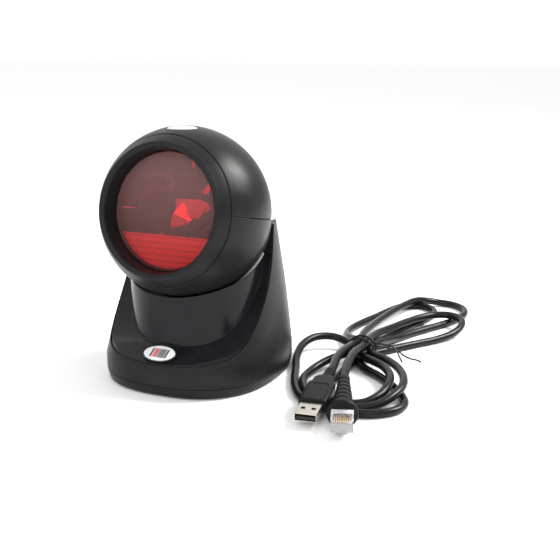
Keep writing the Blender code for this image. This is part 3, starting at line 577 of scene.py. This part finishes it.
def make_cord(finish):
    """One lead from the ribbed boot, through its tied loops, to the USB plug's relief."""
    route = ([rooted(PLUG_FRONT, PLUG_BACK)] + PLUG_TAIL + REAR_A + FRONT_1 + FRONT_3 + REAR_B
             + FRONT_2 + REAR_D + USB_TAIL + [rooted(USB_FRONT, USB_BACK)])
    first = 2 * Vector(route[0]) - Vector(route[1])
    last = 2 * Vector(route[-1]) - Vector(route[-2])
    points = smooth_through([first] + route + [last], 6)
    curve = bpy.data.curves.new("data_cord", "CURVE")
    curve.dimensions = "3D"
    curve.bevel_depth = CORD_R * MM
    curve.bevel_resolution = 5
    curve.use_fill_caps = True
    spline = curve.splines.new("POLY")
    spline.points.add(len(points) - 1)
    for spot, point in zip(spline.points, points):
        spot.co = (*(point * MM), 1.0)
    spline.use_smooth = True
    curve.materials.append(finish)
    cord = bpy.data.objects.new("data_cord", curve)
    bpy.context.scene.collection.objects.link(cord)
    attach(cord, "stand")
    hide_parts("plug_tail", "usb_tail", "cord_hank_front", "cord_hank_neck",
                "cord_hank_rear")
    length = sum((b - a).length for a, b in zip(points, points[1:])) * MM
    return cord, length


def make_tie(finish):
    """Twist of thin wire: two turns round the waist of the lead, and its two free ends."""
    turns = []
    for i in range(61):
        turn = math.radians(70 + 12 * i)
        lean = 3.0 * math.sin(turn * 0.5 + 0.6)
        turns.append((NECK_CENTRE[0] + 9.3 * math.cos(turn), TIE_Y + lean,
                      8.2 + 7.7 * math.sin(turn)))
    first_end = [(93.5, 55, 13.2), (99, 58, 11.6), (105, 59, 10.6), (110, 51, 11.6),
                 (115, 41, 11.9), (120, 31, 11.6)]
    second_end = [(94.5, 56, 10.5), (100, 60, 9.0), (107, 62.5, 7.2), (112.5, 59.5, 5.6),
                  (117.7, 57, 5.0), (121, 59, 4.0), (124.3, 58.4, 3.2)]
    for name, route in (("tie_turns", turns), ("tie_end_1", first_end),
                        ("tie_end_2", second_end)):
        before = 2 * Vector(route[0]) - Vector(route[1])
        after = 2 * Vector(route[-1]) - Vector(route[-2])
        points = smooth_through([before] + list(route) + [after], 3)
        curve = bpy.data.curves.new(name, "CURVE")
        curve.dimensions = "3D"
        curve.bevel_depth = TIE_R * MM
        curve.bevel_resolution = 3
        curve.use_fill_caps = True
        spline = curve.splines.new("POLY")
        spline.points.add(len(points) - 1)
        for spot, point in zip(spline.points, points):
            spot.co = (*(point * MM), 1.0)
        spline.use_smooth = True
        curve.materials.append(finish)
        wire = bpy.data.objects.new(name, curve)
        bpy.context.scene.collection.objects.link(wire)
        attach(wire, "stand")
        if name == "tie_turns":
            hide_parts("cord_tie")


def make_boot(finish):
    """Ribbed boot of the modular plug with its round collar."""
    profile = [(0.0, 13.0, 0), (8.1, 13.0, 0.5), (8.4, 13.8, 0.4), (8.4, 16.1, 0.7),
               (7.6, 17.0, 0.5), (6.1, 17.6, 0.8)]
    for i in range(6):
        start = 19.0 + 5.4 * i
        radius = 6.0 - 0.44 * i
        profile += [(radius, start, 0.3), (radius - 0.1, start + 3.0, 0.3),
                    (radius - 1.5, start + 3.3, 0.2), (radius - 1.5, start + 4.9, 0.2)]
    profile += [(3.4, 52.0, 0.2), (3.2, 56.4, 0.4), (2.8, 57.9, 0.2), (0.0, 57.9, 0)]
    boot = turned("boot_ribbed", rounded(profile), 64, place=along(PLUG_FRONT, PLUG_BACK))
    finish_piece(boot, finish, "stand", ["plug_boot"])


def make_pins(finish):
    """Eight contact blades in the open slot of the modular plug."""
    bm = bmesh.new()
    for i in range(8):
        centre = Matrix.Translation(((i - 3.5) * 1.1, 2.8, 4.1))
        cube = bmesh.ops.create_cube(bm, size=1.0, matrix=centre @ Matrix.Diagonal(
            (0.5, 0.8, 7.4, 1.0)))
        corners = set(cube["verts"])
        edges = [edge for edge in bm.edges if edge.verts[0] in corners]
        bmesh.ops.bevel(bm, geom=edges, offset=0.08, segments=2, affect="EDGES", profile=0.5)
    pins = loose("plug_pins", bm, along(PLUG_FRONT, PLUG_BACK))
    finish_piece(pins, finish, "stand", ["plug_contacts"])


def make_usb_mould(finish):
    """Flat moulded grip of the USB plug, with shoulders that step down to the relief."""
    place = along(USB_FRONT, USB_BACK)
    rings = []
    for half_x, half_y, w in ((7.0, 3.2, 13.5), (7.45, 3.65, 13.6), (7.7, 3.9, 13.9),
                              (7.8, 4.0, 14.5), (7.8, 4.0, 33.9), (7.7, 3.95, 34.5),
                              (7.3, 3.9, 35.0), (6.6, 3.88, 35.4), (6.35, 3.85, 36.0),
                              (6.2, 3.8, 40.6), (5.9, 3.75, 41.4), (5.0, 3.65, 42.5),
                              (4.3, 3.55, 43.3), (3.9, 3.4, 43.7), (3.6, 3.1, 44.0)):
        rings.append([(x, y, w) for x, y in superellipse(half_x, half_y, 7.0, 0.0, 64)])
    grip = loft("usb_grip", rings, place)
    panel = prism("cut_usb_panel", superellipse(5.4, 8.4, 5.0, 24.4, 64), 3.75, 6.0,
                  place @ Matrix(((1, 0, 0, 0), (0, 0, 1, 0), (0, 1, 0, 0), (0, 0, 0, 1))))
    combine(grip, panel, "DIFFERENCE")
    finish_piece(grip, finish, "stand", ["usb_overmould"])
    profile = [(0.0, 44.3, 0), (3.5, 44.3, 0.2)]
    for i in range(4):
        start = 44.8 + 2.7 * i
        profile += [(3.5 - 0.12 * i, start, 0.25), (3.4 - 0.12 * i, start + 1.5, 0.25),
                    (2.75, start + 1.7, 0.1), (2.75, start + 2.6, 0.1)]
    profile += [(2.7, 55.9, 0.2), (0.0, 55.9, 0)]
    relief = turned("usb_relief_ribs", rounded(profile), 40, place=place)
    finish_piece(relief, finish, "stand", ["usb_strain_relief"])
    return grip


# ---------------------------------------------------------------- stand
def stand_section(z, inset, count=176):
    t = min(max((z - 16.0) / (SHELL_TOP - 16.0), 0.0), 1.0)
    foot = 1.6 * min(max((6.5 - z) / 6.5, 0.0), 1.0)
    half_x = 52.9 - 7.0 * t - foot - inset
    half_y = 55.7 - 17.3 * t - foot - inset
    centre_y = 2.2 + 4.5 * math.sin(math.pi / 2 * min(1.6 * t, 1.0))
    return [(x, y, z) for x, y in superellipse(half_x, half_y, 2.5 - 0.5 * t, centre_y, count)]


def stand_loft(name, low, high, inset, steps=36):
    heights = [low + (high - low) * i / steps for i in range(steps + 1)]
    return loft(name, [stand_section(z, inset) for z in heights])


def rim_line(distance):
    """Side view of the sweeping rim, moved back by a distance."""
    line = smooth_through(RIM_SWEEP, 10)
    moved = []
    for i, point in enumerate(line):
        ahead = line[min(i + 1, len(line) - 1)] - line[max(i - 1, 0)]
        moved.append(tuple(point + Vector((ahead.y, -ahead.x)).normalized() * distance))
    return moved


def before_rim(name, inset):
    points = rim_line(inset)
    points += [(points[-1][0], 140.0), (-90.0, 140.0), (-90.0, points[0][1])]
    return prism(name, points, -75.0, 75.0, across())


def behind_rim(name, inset):
    points = rim_line(inset)
    points += [(90.0, points[-1][1]), (90.0, -5.0), (points[0][0], -5.0)]
    return prism(name, points, -75.0, 75.0, across())


def rear_dip(name, grow):
    half, floor, top, power = DIP_HALF_X + grow, DIP_FLOOR - grow, SHELL_TOP + 0.5, 2.4
    points = []
    for i in range(73):
        turn = math.pi * i / 72
        c, s = math.cos(turn), math.sin(turn)
        points.append((half * math.copysign(abs(c) ** (2 / power), c),
                       top - (top - floor) * abs(s) ** (2 / power)))
    points += [(-half, 125.0), (half, 125.0)]
    facing = Matrix(((1, 0, 0, 0), (0, 0, 1, 0), (0, -1, 0, 0), (0, 0, 0, 1)))
    return prism(name, [(x, -z) for x, z in points], -6.0, 75.0, facing)


def make_shell(finish):
    shell = stand_loft("shell_skin", SHELL_BOTTOM, SHELL_TOP, 0.0)
    combine(shell, stand_loft("cut_hollow", 5.0, ARM_SOLID_Z, SHELL_WALL), "DIFFERENCE")
    rebate = stand_loft("cut_rebate", 15.0, 76.0, 0.6)
    combine(rebate, before_rim("cut_rebate_front", SHELF_THICK + GAP), "INTERSECT")
    combine(shell, rebate, "DIFFERENCE")
    combine(shell, before_rim("cut_front", 0.0), "DIFFERENCE")
    combine(shell, rear_dip("cut_dip", 0.0), "DIFFERENCE")
    combine(shell, ball("cut_arm_cup", BALL_CENTRE, ARM_CUP_R), "DIFFERENCE")
    outlet = Matrix.Translation((0, 0, JACK_Z)) @ Matrix.Rotation(math.radians(-90), 4, "X")
    combine(shell, rod("cut_outlet", JACK_HOLE_R, 48.0, 70.0, 64, place=outlet), "DIFFERENCE")
    finish_piece(shell, finish, "stand", ["stand_shell"])


def shelf_slab(name):
    """The sloping shelf, crowned in the middle and flush with the rim at its edges."""
    outline = rim_line(0.0) + list(reversed(rim_line(SHELF_THICK)))
    rings = []
    for x in [-75.0] + [2.0 * i - 46.0 for i in range(47)] + [75.0]:
        crown = SHELF_CROWN * max(1.0 - (x / 46.0) ** 2, 0.0)
        ring = []
        for y, z in outline:
            rise = min(max((y + 52.5) / 14.0, 0.0), 1.0) * min(max((2.0 - y) / 16.0, 0.0), 1.0)
            ring.append((x, y, z + crown * rise))
        rings.append(ring)
    return loft(name, rings)


def make_cover(finish):
    """Gloss cover: shelf, column and the cradle under the ball."""
    cover = shelf_slab("gloss_cover")
    combine(cover, stand_loft("keep_plan", 13.0, COVER_TOP, 0.9), "INTERSECT")
    column = prism("add_column", superellipse(COLUMN_HALF_X, COLUMN_HALF_Y, COLUMN_POWER,
                                              COLUMN_Y, 200), 20.0, COVER_TOP)
    combine(column, before_rim("keep_column_front", 1.1), "INTERSECT")
    combine(cover, column, "UNION")
    hollow = prism("cut_column_hollow", superellipse(COLUMN_HALF_X - 2.2, COLUMN_HALF_Y - 2.2,
                                                     COLUMN_POWER, COLUMN_Y, 200), 5.0, 85.0)
    combine(hollow, ball("keep_cradle", BALL_CENTRE, CUP_R + 1.9), "DIFFERENCE")
    combine(cover, hollow, "DIFFERENCE")
    cradle = ball("add_cradle", BALL_CENTRE, CUP_R + 2.2)
    combine(cradle, rear_dip("add_dip_lining", 2.2), "UNION")
    combine(cradle, stand_loft("keep_cradle_plan", 28.0, COVER_TOP, SHELL_WALL + GAP), "INTERSECT")
    combine(cradle, behind_rim("keep_cradle_back", 0.5), "INTERSECT")
    combine(cover, cradle, "UNION")
    combine(cover, ball("cut_cup", BALL_CENTRE, CUP_R), "DIFFERENCE")
    combine(cover, rear_dip("cut_cover_dip", 0.0), "DIFFERENCE")
    turn = math.radians(STUD_DEG)
    outward = Vector((0, math.cos(turn), math.sin(turn)))
    combine(cover, rod("cut_stud_hole", 3.4, 45.0, 60.0, 32,
                       place=along(BALL_CENTRE, BALL_CENTRE + outward)), "DIFFERENCE")
    finish_piece(cover, finish, "stand", ["inner_cover"])


def make_base(finish):
    rings = []
    for inset, z in ((0.9, 0.9), (0.35, 1.05), (0.05, 1.5), (0.0, 2.2), (0.0, 4.0), (0.0, 6.0),
                     (0.08, 6.3), (0.3, 6.5)):
        rings.append(stand_section(z, inset))
    plate = loft("base_skin", rings)
    tray = loft("cut_tray", [stand_section(z, 2.6) for z in (3.2, 6.0, 9.0)])
    combine(plate, tray, "DIFFERENCE")
    pad = superellipse(33.4, 33.4, 2.5, 2.2, 96)
    combine(plate, prism("cut_pad_pocket", pad, -1.0, 1.6), "DIFFERENCE")
    for x in (-BASE_SCREW_X, BASE_SCREW_X):
        for y in BASE_SCREW_ROWS:
            combine(plate, rod(f"add_post_{x:.0f}_{y:.0f}", 4.6, 2.5, 6.4, x=x, y=y), "UNION")
            combine(plate, rod(f"cut_shank_{x:.0f}_{y:.0f}", 1.7, 0.0, 9.0, x=x, y=y),
                    "DIFFERENCE")
            combine(plate, rod(f"cut_head_{x:.0f}_{y:.0f}", 3.2, -1.0, 3.6, x=x, y=y),
                    "DIFFERENCE")
    finish_piece(plate, finish, "stand", ["base_plate"])


def make_badge(white, ink, red):
    """Oval plate with a black border and a plain pattern of bars."""
    place = Matrix.Translation((0, -46.0, 23.2)) @ Matrix.Rotation(math.radians(28.0), 4, "X")
    border = loft("badge_border", [[(x, y, z) for x, y in superellipse(
        10.4 - cut, 6.2 - cut, 2.0, 0.0, 96)] for z, cut in ((0.5, 0), (0.9, 0), (1.07, 0.2))],
        place)
    finish_piece(border, ink, "stand", ["front_badge"])
    plate = loft("badge_plate", [[(x, y, z) for x, y in superellipse(
        9.85 - cut, 5.65 - cut, 2.0, 0.0, 96)] for z, cut in ((1.09, 0), (1.17, 0), (1.25, 0.12))],
        place)
    finish_piece(plate, white, "stand")
    left = -5.4
    for i, width in enumerate((1.1, 0.6, 1.5, 0.6, 1.0, 1.4, 0.6, 1.1)):
        outline = [(left, -3.3), (left + width, -3.3), (left + width, 3.3), (left, 3.3)]
        bar = prism(f"badge_bar_{i + 1}", outline, 1.26, 1.3, place)
        finish_piece(bar, red if i in (1, 2) else ink, "stand")
        left += width + 0.42


# ---------------------------------------------------------------- head
def dome(name, flip):
    """Half of the ball behind the seam, with its wall and softened edges."""
    soft = 0.35
    first = math.acos((SEAM_W - 0.15) / BALL_R)
    near = [0.0, 0.0015, 0.003, 0.005, 0.008, 0.02]
    alphas = [first + step for step in near]
    alphas += [alphas[-1] + (math.pi - alphas[-1]) * i / 48 for i in range(1, 49)]
    turns = near + [0.02 + (math.pi - 0.04) * i / 72 for i in range(1, 72)]
    turns += [math.pi - step for step in reversed(near)]

    def shrink(distance):
        if distance >= soft:
            return 0.0
        return soft - math.sqrt(soft * soft - (soft - distance) ** 2)

    bm = bmesh.new()
    outer, inner = [], []
    for alpha in alphas:
        outer_row, inner_row = [], []
        for turn in turns:
            way = Vector((math.sin(alpha) * math.cos(turn), math.sin(alpha) * math.sin(turn),
                          math.cos(alpha)))
            if alpha == alphas[-1]:
                way = Vector((0, 0, -1))
            fall = max(shrink(BALL_R * way.y), shrink(BALL_R * (math.cos(first) - way.z)))
            outer_row.append(way * (BALL_R - fall))
            inner_row.append(way * (BALL_R - HEAD_WALL))
        outer.append([bm.verts.new(p) for p in outer_row])
        inner.append([bm.verts.new(p) for p in inner_row])
    grid_faces(bm, outer)
    grid_faces(bm, inner)
    grid_faces(bm, [outer[0], inner[0]])
    grid_faces(bm, [[row[0] for row in outer], [row[0] for row in inner]])
    grid_faces(bm, [[row[-1] for row in outer], [row[-1] for row in inner]])
    place = head_frame() @ Matrix.Rotation(math.pi if flip else 0.0, 4, "Z")
    return loose(name, bm, place @ Matrix.Translation((0, 0.15, 0)))


def lens_place():
    return Matrix.Translation(BALL_CENTRE) @ Matrix.Rotation(LENS_LEAN, 4, "X")


def make_head_covers(finish):
    upper = dome("upper_cover_skin", False)
    lower = dome("lower_cover_skin", True)
    spot = lens_place()
    floor = superellipse(LENS_HALF_X + 2.5, LENS_HALF_Y + 2.5, 2.0, 0.0, 96)
    pocket = superellipse(LENS_HALF_X + 0.5, LENS_HALF_Y + 0.5, 2.0, 0.0, 96)
    combine(upper, prism("add_lens_floor", floor, 43.0, 48.0, spot), "UNION")
    combine(upper, prism("cut_lens_pocket", pocket, 45.0, 60.0, spot), "DIFFERENCE")
    combine(upper, rod("cut_lamp_hole", 3.0, 40.0, 47.0, place=spot), "DIFFERENCE")
    down = head_frame() @ Matrix.Rotation(math.radians(-90), 4, "X")
    for side, x in (("left", -27.0), ("right", 27.0)):
        for cover, low, high in ((upper, 0.4, 40.0), (lower, -40.0, -0.4)):
            post = rod(f"add_post_{side}_{high:.0f}", 3.6, low, high, x=x, y=22.0, place=down)
            combine(post, ball(f"keep_post_{side}_{high:.0f}", BALL_CENTRE, BALL_R - 1.0),
                    "INTERSECT")
            combine(cover, post, "UNION")
        combine(upper, rod(f"cut_thread_{side}", 1.6, -2.0, 12.0, x=x, y=22.0, place=down),
                "DIFFERENCE")
        combine(lower, rod(f"cut_shank_{side}", 1.6, -40.0, 2.0, x=x, y=22.0, place=down),
                "DIFFERENCE")
        combine(lower, rod(f"cut_head_{side}", 2.9, -50.0, -26.0, x=x, y=22.0, place=down),
                "DIFFERENCE")
    slot_box = [(43.0, -3.4), (55.0, -3.4), (55.0, 3.4), (43.0, 3.4)]
    start = Matrix.Rotation(math.radians(-97.5), 4, "Z")
    slot = turned("cut_guide_slot", slot_box, 24, math.radians(39.0),
                  across(BALL_CENTRE.y, BALL_CENTRE.z) @ start)
    combine(lower, slot, "DIFFERENCE")
    finish_piece(upper, finish, "head", ["upper_cover"])
    finish_piece(lower, finish, "head", ["lower_cover"])


def make_bezel(finish):
    low_w = SEAM_W + 0.15
    first, last = math.asin(low_w / BALL_R), math.asin(31.2 / BALL_R)
    outer = [(BALL_R * math.cos(first + (last - first) * i / 10),
              BALL_R * math.sin(first + (last - first) * i / 10), 0) for i in range(11)]
    outer[0] = (outer[0][0], low_w, 0.35)
    crest = [Vector(p) for p in ((39.6, 30.6), (39.07, 31.2), (38.4, 32.1), (37.4, 32.6),
                                 (36.2, 32.5), (35.3, 31.9), (34.8, 31.0), (34.75, 30.0))]
    rim = [(p.x, p.y, 0) for p in smooth_through(crest, 4)][1:]
    wall = [(34.15, 21.0, 0.3), (34.1, 19.6, 0.2), (32.7, 19.6, 0), (32.7, 17.4, 0),
            (36.6, 17.4, 0), (36.9, 24.0, 0.5), (39.6, low_w, 0)]
    bezel = turned("bezel_skin", rounded(outer + rim + wall), 160, place=head_frame())
    finish_piece(bezel, finish, "head", ["front_bezel"])


def make_window(glass, film):
    low = WINDOW_FRONT_W - WINDOW_THICK
    profile = [(0.0, low, 0), (0.0, WINDOW_FRONT_W, 0), (WINDOW_R, WINDOW_FRONT_W, 0.3),
               (WINDOW_R, low, 0.3)]
    pane = turned("window_pane", rounded(profile), 128, place=head_frame())
    finish_piece(pane, glass, "head", ["scan_window"])
    dip = math.acos(LABEL_TOP_V / FILM_R) - math.pi / 2
    outline = []
    for i in range(65):
        turn = math.pi + dip + (math.pi - 2 * dip) * i / 64
        outline.append((FILM_R * math.cos(turn), FILM_R * math.sin(turn)))
    label = prism("label_film", outline, low - 0.8, low - 0.4, head_frame())
    finish_piece(label, film, "head", ["window_label"])


def make_lens(finish):
    rings = []
    for scale, z in ((0.97, 45.4), (1.0, 45.7), (1.0, 48.2), (0.985, 48.6), (0.94, 49.05),
                     (0.86, 49.32), (0.72, 49.6), (0.5, 49.8), (0.25, 49.88)):
        rings.append([(x, y, z) for x, y in superellipse(LENS_HALF_X * scale,
                                                         LENS_HALF_Y * scale, 2.0, 0.0, 96)])
    lens = loft("lens_frosted", rings, lens_place())
    finish_piece(lens, finish, "head", ["status_lens"])


# ---------------------------------------------------------------- carried-over CAD nodes
CARRIED = {
    "rubber": ["rubber_pad"],
    "steel": ["base_screw_1", "base_screw_2", "base_screw_3", "base_screw_4", "ballast_plate",
              "guide_stud", "clamp_spring", "clamp_ring", "cover_screw_left",
              "cover_screw_right", "motor_stator", "rotor_hub"],
    "inner": ["jack_housing", "usb_tongue", "optical_frame", "photodetector", "beeper"],
    "brass": ["jack_contacts", "laser_module"],
    "board": ["jack_board", "detector_board", "main_board"],
    "acetal": ["clamp_plate", "board_connector"],
    "nickel": ["usb_shell"],
    "clear": ["plug_body", "plug_latch", "status_lamp"],
    "mirror": ["polygon_mirror", "collecting_mirror", "pattern_mirror_1", "pattern_mirror_2",
               "pattern_mirror_3", "pattern_mirror_4", "pattern_mirror_5"],
}


def dress_nodes():
    for finish, names in CARRIED.items():
        for name in names:
            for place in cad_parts[name].material_slots:
                place.material = FINISH[finish]


add_camera()
add_studio()
FINISH = make_materials()
cord, cord_length = make_cord(FINISH["pvc"])
make_tie(FINISH["pvc"])
make_boot(FINISH["mould"])
make_pins(FINISH["brass"])
usb_grip = make_usb_mould(FINISH["mould"])
make_shell(FINISH["charcoal"])
make_cover(FINISH["gloss"])
make_base(FINISH["charcoal"])
make_badge(FINISH["badge"], FINISH["ink"], FINISH["glint"])
make_bezel(FINISH["charcoal"])
make_head_covers(FINISH["charcoal"])
make_window(FINISH["window"], FINISH["label"])
make_lens(FINISH["lens"])
dress_nodes()

bpy.context.view_layer.update()
